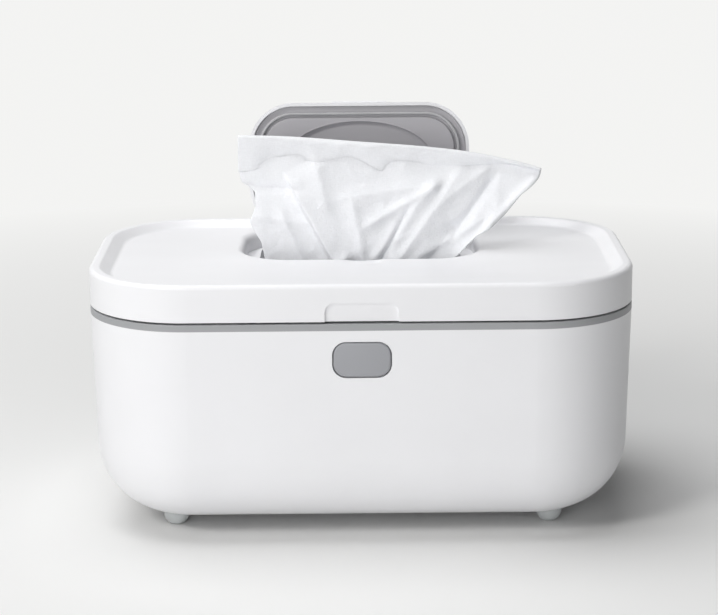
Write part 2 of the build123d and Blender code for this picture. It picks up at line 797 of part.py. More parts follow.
with BuildPart() as lid_shell:
    rounded_block(outline, lid_bottom, lid_top)
    rounded_block(grown(outline, -wall), lid_bottom, lid_ceiling, mode=Mode.SUBTRACT)
    rounded_block(grown(recess_size, recess_wall), well_bottom, lid_top - dish_drop, recess_place)
    with BuildSketch(Plane.XY.offset(dish_floor)):
        RectangleRounded(width - 2 * dish_side_margin, depth - 2 * dish_end_margin, dish_corner)
    with BuildSketch(Plane.XY.offset(lid_top)):
        RectangleRounded(*grown(outline, -lid_edge - rim_top))
    loft(mode=Mode.SUBTRACT)
    fillet(level_face(lid_shell, dish_floor).outer_wire().edges(), radius=dish_crease)
    fillet(level_face(lid_shell, lid_top).outer_wire().edges(), radius=lid_edge)
    fillet(level_face(lid_shell, lid_top).inner_wires()[0].edges(), radius=rim_inner_edge)
    rounded_block(recess_size, recess_floor, dish_floor, recess_place, mode=Mode.SUBTRACT)
    fillet(level_face(lid_shell, dish_floor).inner_wires()[0].edges(), radius=mouth_round)
    scoop_sphere = (scoop_radius**2 + scoop_depth**2) / (2 * scoop_depth)
    with Locations((0, recess_front - scoop_lead, dish_floor + scoop_sphere - scoop_depth)):
        Sphere(scoop_sphere, mode=Mode.SUBTRACT)
    rounded_ring(grown(bead_size, collar_width / 2), collar_width, recess_floor, collar_top, bead_place)
    rounded_block(opening_size, well_bottom, collar_top, bead_place, mode=Mode.SUBTRACT)
    ear_front = flap_pin_y - flap_ear_radius
    for side in (-1, 1):
        for end in (-1, 1):
            ear_near = side * flap_hinge_x + end * (flap_barrel_half + hinge_gap)
            with BuildSketch(Plane.YZ.offset(ear_near)):
                with Locations((flap_pin_y, flap_pin_z)):
                    Circle(flap_ear_radius)
                with Locations(((ear_front + recess_back) / 2, (recess_floor + flap_pin_z) / 2)):
                    Rectangle(recess_back - ear_front, flap_pin_z - recess_floor)
            extrude(amount=end * flap_ear)
        bore_half = flap_barrel_half + hinge_gap + flap_ear
        bore_ends = (side * flap_hinge_x - bore_half, side * flap_hinge_x + bore_half)
        axle(*bore_ends, flap_pin_radius + fit / 2, flap_pin_y, flap_pin_z, mode=Mode.SUBTRACT)
    posts(lid_post_places, lid_post_radius, well_bottom, lid_ceiling)
    screw_hole_top = well_bottom + lid_screw_bite
    posts(lid_post_places, screw_radius + fit, well_bottom, screw_hole_top, mode=Mode.SUBTRACT)
    notch_size = (notch_width, 2 * notch_height, notch_corner)
    front_plate(notch_size, front_face, front_face + notch_depth, (0, lid_bottom), mode=Mode.SUBTRACT)
    for side in (-1, 1):
        low_x = side * lid_hinge_x - lid_barrel_half
        high_x = side * lid_hinge_x + lid_barrel_half
        axle(low_x, high_x, lid_barrel_radius, lid_pin_y, lid_pin_z)
        web_front = lid_pin_y - lid_web_front
        web_back = lid_pin_y + lid_barrel_radius
        block((low_x, web_front, lid_pin_z), (high_x, web_back, lid_bottom + lid_web_rise))
        axle(low_x, high_x, lid_pin_radius + fit, lid_pin_y, lid_pin_z, mode=Mode.SUBTRACT)
finish(lid_shell.part, "lid_shell")

with BuildPart() as lid_liner:
    rounded_block(grown(outline, -wall - liner_gap), liner_bottom, well_bottom)
    rounded_block(opening_size, liner_bottom, well_bottom, bead_place, mode=Mode.SUBTRACT)
    posts(lid_post_places, screw_radius + loose, liner_bottom, well_bottom, mode=Mode.SUBTRACT)
    for side in (-1, 1):
        web_room = lid_barrel_half + hinge_gap
        block(
            (side * lid_hinge_x - web_room, lid_pin_y - lid_web_front - hinge_gap, liner_bottom),
            (side * lid_hinge_x + web_room, rear_face, well_bottom),
            mode=Mode.SUBTRACT,
        )
finish(lid_liner.part, "lid_liner")

with BuildPart() as lid_seal:
    seal_outer = grown(tub_size, seal_inset + seal_width / 2)
    rounded_ring(seal_outer, seal_width, band_top + loose, liner_bottom)
    fillet(lid_seal.edges().group_by(Axis.Z)[0], radius=seal_edge)
finish(lid_seal.part, "lid_seal")

with BuildPart() as lid_screws:
    head_low = liner_bottom - small_head_height
    screws(lid_post_places, small_head_radius, head_low, liner_bottom, screw_hole_top - loose)
finish(lid_screws.part, "lid_screws")

# Flap: the shell, its inner plate with the oval hollow, and the bead that lands on the collar.
with BuildPart() as flap_shell:
    flap_block(0, flap_bottom, flap_top)
    fillet(flap_shell.edges().group_by(Axis.Z)[-1], radius=flap_edge)
    tab_top = flap_top - flap_edge
    block(
        (-tab_width / 2, flap_front - tab_proud, tab_top - tab_thickness),
        (tab_width / 2, flap_front + flap_skirt, tab_top),
    )
    flap_block(flap_skirt, flap_bottom, flap_ceiling, mode=Mode.SUBTRACT)
    for side in (-1, 1):
        centre = side * flap_hinge_x
        barrel_ends = (centre - flap_barrel_half, centre + flap_barrel_half)
        axle(*barrel_ends, flap_barrel_radius, flap_pin_y, flap_pin_z)
        for end in (-1, 1):
            slot_near = centre + end * flap_barrel_half
            slot_far = slot_near + end * (flap_ear + 2 * hinge_gap)
            block(
                (min(slot_near, slot_far), flap_pin_y - flap_slot_front, flap_bottom),
                (max(slot_near, slot_far), flap_back, flap_top),
                mode=Mode.SUBTRACT,
            )
        axle(*barrel_ends, flap_pin_radius + fit, flap_pin_y, flap_pin_z, mode=Mode.SUBTRACT)
finish(opened(flap_shell.part), "flap_shell")

with BuildPart() as flap_inner_plate:
    flap_block(flap_skirt + loose, plate_lower, flap_ceiling)
    block(
        (-flap_width / 2, flap_pin_y - plate_rear_gap, plate_lower),
        (flap_width / 2, flap_back, flap_ceiling),
        mode=Mode.SUBTRACT,
    )
    pedestal_size = grown(bead_size, -bead_width / 2 - plate_channel)
    rounded_block(pedestal_size, pedestal_lower, plate_lower, bead_place)
    fillet(level_face(flap_inner_plate, pedestal_lower).outer_wire().edges(), radius=plate_edge)
    oval_place = (0, bead_middle - oval_shift)
    lip_lower = pedestal_lower - oval_lip_height
    with BuildSketch(Plane.XY.offset(lip_lower)):
        with Locations(oval_place):
            Ellipse(oval_width / 2 + oval_lip, oval_length / 2 + oval_lip)
    extrude(amount=oval_lip_height)
    with BuildSketch(Plane.XY.offset(lip_lower)):
        with Locations(oval_place):
            Ellipse(oval_width / 2, oval_length / 2)
    extrude(amount=oval_lip_height + oval_depth, mode=Mode.SUBTRACT)
    fillet(level_face(flap_inner_plate, lip_lower).edges(), radius=oval_lip_edge)
    bowl_floor = level_face(flap_inner_plate, pedestal_lower + oval_depth)
    fillet(bowl_floor.outer_wire().edges(), radius=oval_bowl)
finish(opened(flap_inner_plate.part), "flap_inner_plate")

with BuildPart() as flap_seal:
    rounded_ring(grown(bead_size, bead_width / 2), bead_width, bead_lower, plate_lower, bead_place)
    fillet(flap_seal.edges().group_by(Axis.Z)[0], radius=bead_tip)
finish(opened(flap_seal.part), "flap_seal")

with BuildPart() as flap_hinge_pins:
    for side in (-1, 1):
        pin_half = flap_barrel_half + hinge_gap + flap_ear
        pin_ends = (side * flap_hinge_x - pin_half, side * flap_hinge_x + pin_half)
        axle(*pin_ends, flap_pin_radius, flap_pin_y, flap_pin_z)
finish(flap_hinge_pins.part, "flap_hinge_pins")

# Wipes: the folded stack in the tub, and the wipe that is pulled up through the opening.
stack_size = (tub_width - 2 * stack_side_gap, tub_depth - 2 * stack_end_gap, stack_corner)

with BuildPart() as wipe_stack:
    rounded_block(stack_size, tub_floor + loose, stack_top)
    fillet(wipe_stack.edges().group_by(Axis.Z)[0], radius=stack_edge)
    fillet(wipe_stack.edges().group_by(Axis.Z)[-1], radius=stack_edge)
finish(wipe_stack.part, "wipe_stack")


def fold_line(x_low, x_high, y, z, swing, lean=0.0):
    """One level of the pulled-up wipe: a strip with three soft folds, sloping down to the right."""
    slope = math.radians(lean)
    half = (x_high - x_low) / 2
    level = Plane(
        origin=((x_low + x_high) / 2, y, z),
        x_dir=(math.cos(slope), 0, -math.sin(slope)),
        z_dir=(math.sin(slope), 0, math.cos(slope)),
    )
    third = half / 3
    back = wipe_thickness
    with BuildSketch(level) as shape:
        with BuildLine():
            ThreePointArc((-half, 0), (-2 * third, swing), (-third, 0))
            ThreePointArc((-third, 0), (0, -swing), (third, 0))
            ThreePointArc((third, 0), (2 * third, swing), (half, 0))
            Line((half, 0), (half, back))
            ThreePointArc((half, back), (2 * third, swing + back), (third, back))
            ThreePointArc((third, back), (0, -swing + back), (-third, back))
            ThreePointArc((-third, back), (-2 * third, swing + back), (-half, back))
            Line((-half, back), (-half, 0))
        make_face()
    return shape.sketch


with BuildPart() as pull_up_wipe:
    mouth_z = dish_floor + wipe_mouth_rise
    waist_z = lid_top + wipe_waist_rise
    top_z = lid_top + wipe_top_rise
    folds = [
        fold_line(-wipe_root_half, wipe_root_half, wipe_root_y, stack_top + loose, wipe_swing),
        fold_line(-wipe_neck_left, wipe_neck_right, wipe_neck_y, liner_bottom, wipe_neck_swing),
        fold_line(-wipe_mouth_left, wipe_mouth_right, wipe_neck_y, mouth_z, wipe_swing),
        fold_line(-wipe_waist_left, wipe_waist_right, wipe_waist_y, waist_z, wipe_waist_swing, wipe_waist_lean),
        fold_line(-wipe_top_left, wipe_top_right, wipe_top_y, top_z, wipe_swing, wipe_top_lean),
    ]
    loft(folds)
finish(pull_up_wipe.part, "pull_up_wipe")
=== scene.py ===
import math

import bmesh
import bpy
from bpy.props import FloatProperty, FloatVectorProperty, IntProperty, PointerProperty
from mathutils import Matrix, Vector, noise


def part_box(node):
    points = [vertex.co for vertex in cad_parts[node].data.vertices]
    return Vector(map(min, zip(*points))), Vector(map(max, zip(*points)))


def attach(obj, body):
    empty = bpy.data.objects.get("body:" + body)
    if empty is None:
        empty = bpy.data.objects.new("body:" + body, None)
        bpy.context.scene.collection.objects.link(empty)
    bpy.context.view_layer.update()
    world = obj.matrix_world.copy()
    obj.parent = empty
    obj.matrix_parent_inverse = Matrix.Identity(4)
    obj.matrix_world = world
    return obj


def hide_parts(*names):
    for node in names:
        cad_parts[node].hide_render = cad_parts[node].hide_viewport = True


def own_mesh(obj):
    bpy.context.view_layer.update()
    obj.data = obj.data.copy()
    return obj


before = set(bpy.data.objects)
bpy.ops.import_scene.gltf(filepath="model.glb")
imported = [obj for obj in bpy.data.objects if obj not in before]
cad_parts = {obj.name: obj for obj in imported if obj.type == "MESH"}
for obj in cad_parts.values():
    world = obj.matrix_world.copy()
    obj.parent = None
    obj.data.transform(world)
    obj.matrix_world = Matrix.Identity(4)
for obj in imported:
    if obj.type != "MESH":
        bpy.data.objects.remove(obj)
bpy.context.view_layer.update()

bl_info = {
    "name": "Baby wipe warmer",
    "version": (1, 0, 0),
    "blender": (4, 5, 0),
    "location": "View3D > Sidebar > Wipe warmer",
    "description": "Dresses the packed wipe warmer with its finishes, its wipes and a plain studio",
    "category": "Object",
}

MM = 0.001

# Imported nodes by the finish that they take.
WHITE_NODES = ("outer_housing", "base_plate", "lid_shell", "lid_liner", "flap_shell")
SCREW_NODES = ("base_screws", "board_screws", "lid_screws", "thermostat")
PIN_NODES = ("lid_hinge_pins", "flap_hinge_pins", "inlet_pin")
BLACK_NODES = ("power_switch", "switch_plunger", "power_inlet", "thermal_fuse")
LEAD_NODES = ("power_leads", "heater_leads")


# ------------------------------------------------------------------ sizes and colours to change


def colour_choice(name, description, default):
    """A colour to change in the sidebar."""
    return FloatVectorProperty(
        name=name, description=description, subtype="COLOR", size=3, min=0.0, max=1.0, default=default
    )


def length_choice(name, description, default):
    """A length to change in the sidebar, in metres."""
    return FloatProperty(
        name=name, description=description, subtype="DISTANCE", unit="LENGTH", default=default
    )


def power_choice(name, description, default):
    """A lamp's power to change in the sidebar, in watts."""
    return FloatProperty(
        name=name, description=description, subtype="POWER", unit="POWER", default=default, min=0.0
    )


class WARMER_PG_colours(bpy.types.PropertyGroup):
    """The colours of the plastics, the rubber and the cloth."""

    shell: colour_choice(
        "Shell", "White satin plastic of the housing, the lid and the flap", (0.85, 0.85, 0.865)
    )
    band: colour_choice(
        "Band", "Grey plastic of the tub, whose flange shows as the band under the lid", (0.34, 0.345, 0.355)
    )
    button: colour_choice("Button", "Grey plastic of the front button", (0.335, 0.34, 0.36))
    plate: colour_choice("Flap plate", "Grey plastic of the plate inside the flap", (0.43, 0.42, 0.44))
    seal: colour_choice("Seals", "Silicone of the lid's seal and of the flap's bead", (0.50, 0.50, 0.51))
    foot: colour_choice("Feet", "Translucent rubber of the feet", (0.58, 0.60, 0.60))
    cloth: colour_choice("Wipes", "Moist nonwoven cloth of the wipes", (0.905, 0.915, 0.94))
    floor: colour_choice("Floor", "Plain pale floor of the studio", (0.85, 0.85, 0.84))


class WARMER_PG_sizes(bpy.types.PropertyGroup):
    """Sizes of the soft pieces and of their detail."""

    cloth_thickness: length_choice("Cloth thickness", "Thickness of one wipe", 0.42 * MM)
    fold_strength: FloatProperty(
        name="Fold strength",
        description="How far the creases of the pulled-up wipe stand out, as a share of the measured ones",
        default=1.0,
        min=0.0,
        max=2.0,
    )
    wipe_columns: IntProperty(
        name="Columns",
        description="Divisions across the pulled-up wipe",
        default=190,
        min=20,
        max=400,
    )
    wipe_rows: IntProperty(
        name="Rows",
        description="Divisions from the pulled-up wipe's root to its top fold",
        default=150,
        min=20,
        max=400,
    )
    stack_layers: IntProperty(
        name="Layers",
        description="Folded wipes that show along the edge of the stack",
        default=40,
        min=4,
        max=80,
    )
    felt_edge: length_choice("Felt edge", "Rounding of the insulation felt's edges", 1.4 * MM)


class WARMER_PG_studio(bpy.types.PropertyGroup):
    """Camera and lamps."""

    lens: FloatProperty(
        name="Lens",
        description="Focal length fitted to the photograph, in millimetres",
        default=110.35,
        min=20.0,
        max=300.0,
    )
    key_power: power_choice("Key lamp", "Power of the small soft lamp at the upper left", 6.6)
    top_power: power_choice("Top lamp", "Power of the broad lamp overhead", 18.0)
    fill_power: power_choice("Fill lamp", "Power of the broad low lamp at the front left", 11.0)
    sky: FloatProperty(
        name="Sky",
        description="Strength of the even light from all round",
        default=0.02,
        min=0.0,
        max=2.0,
    )


# ------------------------------------------------------------------ material helpers


def new_finish(name):
    """A fresh material with its shader and the object's own coordinates."""
    material = bpy.data.materials.new(name)
    material.use_nodes = True
    tree = material.node_tree
    shader = next(node for node in tree.nodes if node.type == "BSDF_PRINCIPLED")
    place = tree.nodes.new("ShaderNodeTexCoord")
    return material, tree, shader, place.outputs["Object"]


def stretched(tree, place, scale, turn=(0.0, 0.0, 0.0)):
    """Coordinates scaled, and turned, for a grain that runs one way."""
    mapping = tree.nodes.new("ShaderNodeMapping")
    mapping.inputs["Scale"].default_value = scale
    mapping.inputs["Rotation"].default_value = turn
    tree.links.new(place, mapping.inputs["Vector"])
    return mapping.outputs["Vector"]


def speckle(tree, place, scale, detail=2.0, roughness=0.5):
    """Even noise, scale in repeats per metre."""
    texture = tree.nodes.new("ShaderNodeTexNoise")
    texture.inputs["Scale"].default_value = scale
    texture.inputs["Detail"].default_value = detail
    texture.inputs["Roughness"].default_value = roughness
    tree.links.new(place, texture.inputs["Vector"])
    return texture.outputs["Fac"]


def cells(tree, place, scale):
    """Distances to scattered cells, scale in cells per metre."""
    texture = tree.nodes.new("ShaderNodeTexVoronoi")
    texture.inputs["Scale"].default_value = scale
    tree.links.new(place, texture.inputs["Vector"])
    return texture.outputs["Distance"]


def stripes(tree, place, direction, scale):
    """Soft parallel bands across one direction."""
    texture = tree.nodes.new("ShaderNodeTexWave")
    texture.bands_direction = direction
    texture.inputs["Scale"].default_value = scale
    tree.links.new(place, texture.inputs["Vector"])
    return texture.outputs["Fac"]


def spread(tree, value, low, high, from_low=0.3, from_high=0.7):
    """A value fitted between two numbers."""
    fit = tree.nodes.new("ShaderNodeMapRange")
    fit.inputs["From Min"].default_value = from_low
    fit.inputs["From Max"].default_value = from_high
    fit.inputs["To Min"].default_value = low
    fit.inputs["To Max"].default_value = high
    tree.links.new(value, fit.inputs["Value"])
    return fit.outputs["Result"]


def tint(tree, value, dark, light):
    """A colour between two, chosen by the value."""
    mix = tree.nodes.new("ShaderNodeMix")
    mix.data_type = "RGBA"
    sockets = [s for s in mix.inputs if s.type == "RGBA"]
    sockets[0].default_value = (*dark, 1.0)
    sockets[1].default_value = (*light, 1.0)
    tree.links.new(value, mix.inputs["Factor"])
    return next(s for s in mix.outputs if s.type == "RGBA")


def combined(tree, first, second, how="ADD"):
    """Two values, or a value and a number, joined by one sum."""
    sum_node = tree.nodes.new("ShaderNodeMath")
    sum_node.operation = how
    tree.links.new(first, sum_node.inputs[0])
    if isinstance(second, (int, float)):
        sum_node.inputs[1].default_value = second
    else:
        tree.links.new(second, sum_node.inputs[1])
    return sum_node.outputs["Value"]


def relief(tree, shader, height, depth, strength=1.0):
    """Bump from a height of 0 to 1, depth in metres."""
    bump = tree.nodes.new("ShaderNodeBump")
    bump.inputs["Distance"].default_value = depth
    bump.inputs["Strength"].default_value = strength
    tree.links.new(height, bump.inputs["Height"])
    tree.links.new(bump.outputs["Normal"], shader.inputs["Normal"])


def scaled(colour, by):
    """A colour made darker or lighter."""
    return tuple(min(1.0, max(0.0, channel * by)) for channel in colour)


# ------------------------------------------------------------------ the finishes

# Distances from the middle, in metres, between which the lit floor turns into its even tone.
FLOOR_BLEND = (0.12, 0.75)


def moulded_plastic(name, colour, roughness, grain=1500.0, grain_depth=0.010):
    """Satin moulded plastic: fine spark-eroded grain, grain_depth in mm, uneven gloss and faint marks."""
    material, tree, shader, place = new_finish(name)
    broad = speckle(tree, place, 14.0, 3.0)
    flow = speckle(tree, stretched(tree, place, (18.0, 60.0, 25.0)), 1.0, 2.0)
    fine = speckle(tree, place, grain, 2.0, 0.6)
    hairlines = speckle(tree, stretched(tree, place, (40.0, 2400.0, 900.0), (0.3, 0.2, 0.7)), 1.0, 1.0)
    marks = spread(tree, hairlines, 0.0, 1.0, 0.66, 0.74)
    shades = combined(tree, combined(tree, broad, flow), 0.5, "MULTIPLY")
    colour_out = tint(tree, spread(tree, shades, 0.0, 1.0), scaled(colour, 0.975), scaled(colour, 1.012))
    tree.links.new(colour_out, shader.inputs["Base Color"])
    gloss = spread(tree, broad, roughness - 0.035, roughness + 0.045)
    gloss = combined(tree, gloss, combined(tree, marks, 0.05, "MULTIPLY"))
    tree.links.new(gloss, shader.inputs["Roughness"])
    height = combined(tree, fine, combined(tree, marks, -0.15, "MULTIPLY"))
    relief(tree, shader, height, grain_depth * MM, 0.55)
    shader.inputs["IOR"].default_value = 1.49
    shader.inputs["Specular IOR Level"].default_value = 0.5
    return material


def soft_silicone(name, colour, see_through=0.0, roughness=0.42):
    """Soft rubber with a dusty bloom and tiny pits."""
    material, tree, shader, place = new_finish(name)
    bloom = speckle(tree, place, 90.0, 4.0)
    pits = cells(tree, place, 1700.0)
    colour_out = tint(tree, spread(tree, bloom, 0.0, 1.0), scaled(colour, 0.93), scaled(colour, 1.06))
    tree.links.new(colour_out, shader.inputs["Base Color"])
    tree.links.new(spread(tree, bloom, roughness - 0.05, roughness + 0.1), shader.inputs["Roughness"])
    relief(tree, shader, pits, 0.02 * MM, 0.5)
    shader.inputs["IOR"].default_value = 1.41
    shader.inputs["Sheen Weight"].default_value = 0.08
    shader.inputs["Sheen Roughness"].default_value = 0.5
    if see_through:
        shader.inputs["Subsurface Weight"].default_value = see_through
        shader.inputs["Subsurface Radius"].default_value = (1.0, 1.0, 1.0)
        shader.inputs["Subsurface Scale"].default_value = 2.5 * MM
    return material


def machined_metal(name, colour, roughness, along=(60.0, 2600.0, 2600.0), blotch=0.06):
    """Metal with drawing or turning marks, and the dull patches of handled plating."""
    material, tree, shader, place = new_finish(name)
    marks = speckle(tree, stretched(tree, place, along), 1.0, 3.0)
    patches = speckle(tree, place, 160.0, 3.0)
    colour_out = tint(tree, spread(tree, patches, 0.0, 1.0), scaled(colour, 0.86), scaled(colour, 1.06))
    tree.links.new(colour_out, shader.inputs["Base Color"])
    gloss = spread(tree, patches, roughness - blotch, roughness + blotch)
    gloss = combined(tree, gloss, spread(tree, marks, -0.04, 0.05))
    tree.links.new(gloss, shader.inputs["Roughness"])
    relief(tree, shader, marks, 0.012 * MM, 0.7)
    shader.inputs["Metallic"].default_value = 1.0
    return material


def heater_mat(name):
    """Silicone heating mat: the woven glass inside and the wire's raised runs show through."""
    material, tree, shader, place = new_finish(name)
    weave_x = stripes(tree, place, "X", 320.0)
    weave_y = stripes(tree, place, "Y", 320.0)
    runs = stripes(tree, place, "Y", 32.0)
    weave = combined(tree, weave_x, weave_y, "MULTIPLY")
    wire = spread(tree, runs, 0.0, 1.0, 0.8, 1.0)
    cloud = speckle(tree, place, 40.0, 3.0)
    colour_out = tint(tree, spread(tree, cloud, 0.0, 1.0), (0.40, 0.085, 0.045), (0.50, 0.12, 0.06))
    tree.links.new(colour_out, shader.inputs["Base Color"])
    tree.links.new(spread(tree, weave, 0.5, 0.62, 0.0, 1.0), shader.inputs["Roughness"])
    height = combined(tree, combined(tree, weave, 0.25, "MULTIPLY"), wire)
    relief(tree, shader, height, 0.25 * MM, 0.8)
    return material


def circuit_board(name):
    """Green board: copper tracks under the resist, seen as lighter runs and patches."""
    material, tree, shader, place = new_finish(name)
    tracks = tree.nodes.new("ShaderNodeTexBrick")
    tracks.inputs["Scale"].default_value = 130.0
    tracks.inputs["Mortar Size"].default_value = 0.012
    tracks.inputs["Color1"].default_value = (0.0, 0.0, 0.0, 1.0)
    tracks.inputs["Color2"].default_value = (0.12, 0.12, 0.12, 1.0)
    tracks.inputs["Mortar"].default_value = (1.0, 1.0, 1.0, 1.0)
    flat = stretched(tree, place, (1.0, 1.0, 1.0), (math.radians(90.0), 0.0, 0.0))
    tree.links.new(flat, tracks.inputs["Vector"])
    cloud = speckle(tree, place, 300.0, 2.0)
    level = combined(tree, tracks.outputs["Fac"], combined(tree, cloud, 0.2, "MULTIPLY"))
    colour_out = tint(tree, level, (0.012, 0.085, 0.035), (0.05, 0.22, 0.09))
    tree.links.new(colour_out, shader.inputs["Base Color"])
    tree.links.new(spread(tree, cloud, 0.25, 0.4), shader.inputs["Roughness"])
    relief(tree, shader, level, 0.035 * MM, 0.8)
    return material


def clear_lamp(name):
    """Clear epoxy of the lamp, slightly hazy."""
    material, tree, shader, place = new_finish(name)
    haze = speckle(tree, place, 500.0, 3.0)
    colour_out = tint(tree, spread(tree, haze, 0.0, 1.0), (0.80, 0.86, 0.80), (0.92, 0.96, 0.92))
    tree.links.new(colour_out, shader.inputs["Base Color"])
    tree.links.new(spread(tree, haze, 0.06, 0.16), shader.inputs["Roughness"])
    relief(tree, shader, haze, 0.01 * MM, 0.4)
    shader.inputs["Transmission Weight"].default_value = 0.85
    shader.inputs["IOR"].default_value = 1.5
    return material


def lead_sleeve(name):
    """Braided sleeve of the leads: a fine crossed pattern, with slight sheen."""
    material, tree, shader, place = new_finish(name)
    crossing = cells(tree, stretched(tree, place, (1300.0, 1300.0, 1300.0), (0.6, 0.4, 0.8)), 1.0)
    dust = speckle(tree, place, 120.0, 3.0)
    raised = spread(tree, crossing, 0.0, 1.0, 0.1, 0.8)
    colour_out = tint(tree, raised, (0.035, 0.035, 0.04), (0.11, 0.11, 0.12))
    tree.links.new(colour_out, shader.inputs["Base Color"])
    tree.links.new(spread(tree, dust, 0.45, 0.62), shader.inputs["Roughness"])
    relief(tree, shader, crossing, 0.12 * MM, 0.8)
    return material


def needled_felt(name):
    """Insulation felt: long tangled fibres, lighter tufts and dimples from the needles."""
    material, tree, shader, place = new_finish(name)
    fibres_a = speckle(tree, stretched(tree, place, (260.0, 2300.0, 900.0), (0.1, 0.0, 0.5)), 1.0, 4.0)
    fibres_b = speckle(tree, stretched(tree, place, (2300.0, 300.0, 900.0), (0.0, 0.2, -0.3)), 1.0, 4.0)
    dimples = cells(tree, place, 420.0)
    fibres = combined(tree, fibres_a, fibres_b, "MULTIPLY")
    cloud = speckle(tree, place, 60.0, 4.0)
    level = combined(tree, spread(tree, fibres, 0.0, 0.7, 0.15, 0.4), spread(tree, cloud, 0.0, 0.3))
    tree.links.new(tint(tree, level, (0.58, 0.55, 0.48), (0.80, 0.78, 0.72)), shader.inputs["Base Color"])
    tree.links.new(spread(tree, cloud, 0.86, 0.97), shader.inputs["Roughness"])
    pits = spread(tree, dimples, 0.0, 0.6, 0.0, 0.5)
    height = combined(tree, combined(tree, fibres, 1.6, "MULTIPLY"), pits)
    relief(tree, shader, height, 0.35 * MM, 0.9)
    shader.inputs["Sheen Weight"].default_value = 0.4
    shader.inputs["Sheen Roughness"].default_value = 0.6
    return material


def moist_cloth(name, colour):
    """Spunlaced nonwoven: tangled fibres, small embossed dimples and a faint moist sheen."""
    material, tree, shader, place = new_finish(name)
    fibres_a = speckle(tree, stretched(tree, place, (500.0, 900.0, 3600.0), (0.0, 0.35, 0.0)), 1.0, 3.0)
    fibres_b = speckle(tree, stretched(tree, place, (3200.0, 900.0, 450.0), (0.0, 0.2, 0.0)), 1.0, 3.0)
    dimples = cells(tree, place, 620.0)
    cloud = speckle(tree, place, 55.0, 4.0)
    fibres = combined(tree, fibres_a, fibres_b, "MULTIPLY")
    level = combined(tree, spread(tree, fibres, 0.0, 0.55, 0.12, 0.42), spread(tree, cloud, 0.0, 0.45))
    colour_out = tint(tree, level, scaled(colour, 0.93), scaled(colour, 1.06))
    tree.links.new(colour_out, shader.inputs["Base Color"])
    tree.links.new(spread(tree, cloud, 0.62, 0.82), shader.inputs["Roughness"])
    pits = spread(tree, dimples, 0.0, 0.8, 0.0, 0.45)
    height = combined(tree, combined(tree, fibres, 1.2, "MULTIPLY"), pits)
    relief(tree, shader, height, 0.16 * MM, 0.7)
    shader.inputs["Subsurface Weight"].default_value = 0.25
    shader.inputs["Subsurface Radius"].default_value = (1.0, 1.0, 1.0)
    shader.inputs["Subsurface Scale"].default_value = 1.2 * MM
    shader.inputs["Sheen Weight"].default_value = 0.25
    shader.inputs["Sheen Roughness"].default_value = 0.45
    return material


def seen_directly(tree):
    """1 for what the camera, a reflection or a clear piece shows, 0 for light on its way round."""
    path = tree.nodes.new("ShaderNodeLightPath")
    seen = path.outputs["Is Camera Ray"]
    for other in ("Is Glossy Ray", "Is Transmission Ray"):
        seen = combined(tree, seen, path.outputs[other], "MAXIMUM")
    return seen


def studio_floor(name, colour):
    """Plain pale matt floor; away from the object it is seen as one even pale tone."""
    material, tree, shader, place = new_finish(name)
    cloud = speckle(tree, place, 3.0, 3.0)
    colour_out = tint(tree, spread(tree, cloud, 0.0, 1.0), scaled(colour, 0.985), colour)
    tree.links.new(colour_out, shader.inputs["Base Color"])
    shader.inputs["Roughness"].default_value = 0.9
    shader.inputs["Specular IOR Level"].default_value = 0.2
    output = next(node for node in tree.nodes if node.type == "OUTPUT_MATERIAL")
    distance = tree.nodes.new("ShaderNodeVectorMath")
    distance.operation = "LENGTH"
    tree.links.new(place, distance.inputs[0])
    away = spread(tree, distance.outputs["Value"], 0.0, 1.0, *FLOOR_BLEND)
    even = tree.nodes.new("ShaderNodeEmission")
    even.inputs["Color"].default_value = (*scaled(colour, 1.06), 1.0)
    mix = tree.nodes.new("ShaderNodeMixShader")
    tree.links.new(combined(tree, seen_directly(tree), away, "MULTIPLY"), mix.inputs[0])
    tree.links.new(shader.outputs[0], mix.inputs[1])
    tree.links.new(even.outputs[0], mix.inputs[2])
    tree.links.new(mix.outputs[0], output.inputs["Surface"])
    return material


def dress(nodes, material):
    """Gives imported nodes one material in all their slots."""
    for name in nodes:
        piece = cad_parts[name]
        if not piece.material_slots:
            piece.data.materials.append(material)
        for place in piece.material_slots:
            place.material = material


# ------------------------------------------------------------------ mesh helpers


def new_piece(name, points, faces, material, smooth=True):
    """A mesh object of its own from points in metres."""
    mesh = bpy.data.meshes.new(name)
    mesh.from_pydata([tuple(p) for p in points], [], faces)
    mesh.materials.append(material)
    if smooth:
        mesh.polygons.foreach_set("use_smooth", [True] * len(mesh.polygons))
    mesh.update()
    piece = bpy.data.objects.new(name, mesh)
    bpy.context.scene.collection.objects.link(piece)
    return piece


def applied(piece):
    """Bakes a piece's modifiers into its mesh."""
    bpy.context.view_layer.update()
    seen = bpy.context.evaluated_depsgraph_get()
    mesh = bpy.data.meshes.new_from_object(piece.evaluated_get(seen))
    piece.modifiers.clear()
    piece.data = mesh
    return piece


def along(table, value):
    """Reads a table of (place, value) pairs, with straight runs between them."""
    if value <= table[0][0]:
        return table[0][1]
    for (a, low), (b, high) in zip(table, table[1:]):
        if value <= b:
            return low + (high - low) * ((value - a) / (b - a))
    return table[-1][1]


def eased(table, value, reach):
    """The same table, softened over a short reach so that no corner stays."""
    samples = [along(table, value + reach * k / 3.0) for k in (-3, -2, -1, 0, 1, 2, 3)]
    weights = (1, 2, 3, 4, 3, 2, 1)
    return sum(w * s for w, s in zip(weights, samples)) / sum(weights)


def rounded_outline(half_x, half_y, corner, steps=8):
    """Points round a rectangle with rounded corners, anticlockwise."""
    points = []
    for turn, (sx, sy) in enumerate(((1, 1), (-1, 1), (-1, -1), (1, -1))):
        for k in range(steps + 1):
            angle = math.radians(90.0 * turn + 90.0 * k / steps)
            x = sx * (half_x - corner) + corner * math.cos(angle)
            y = sy * (half_y - corner) + corner * math.sin(angle)
            points.append((x, y))
    return points


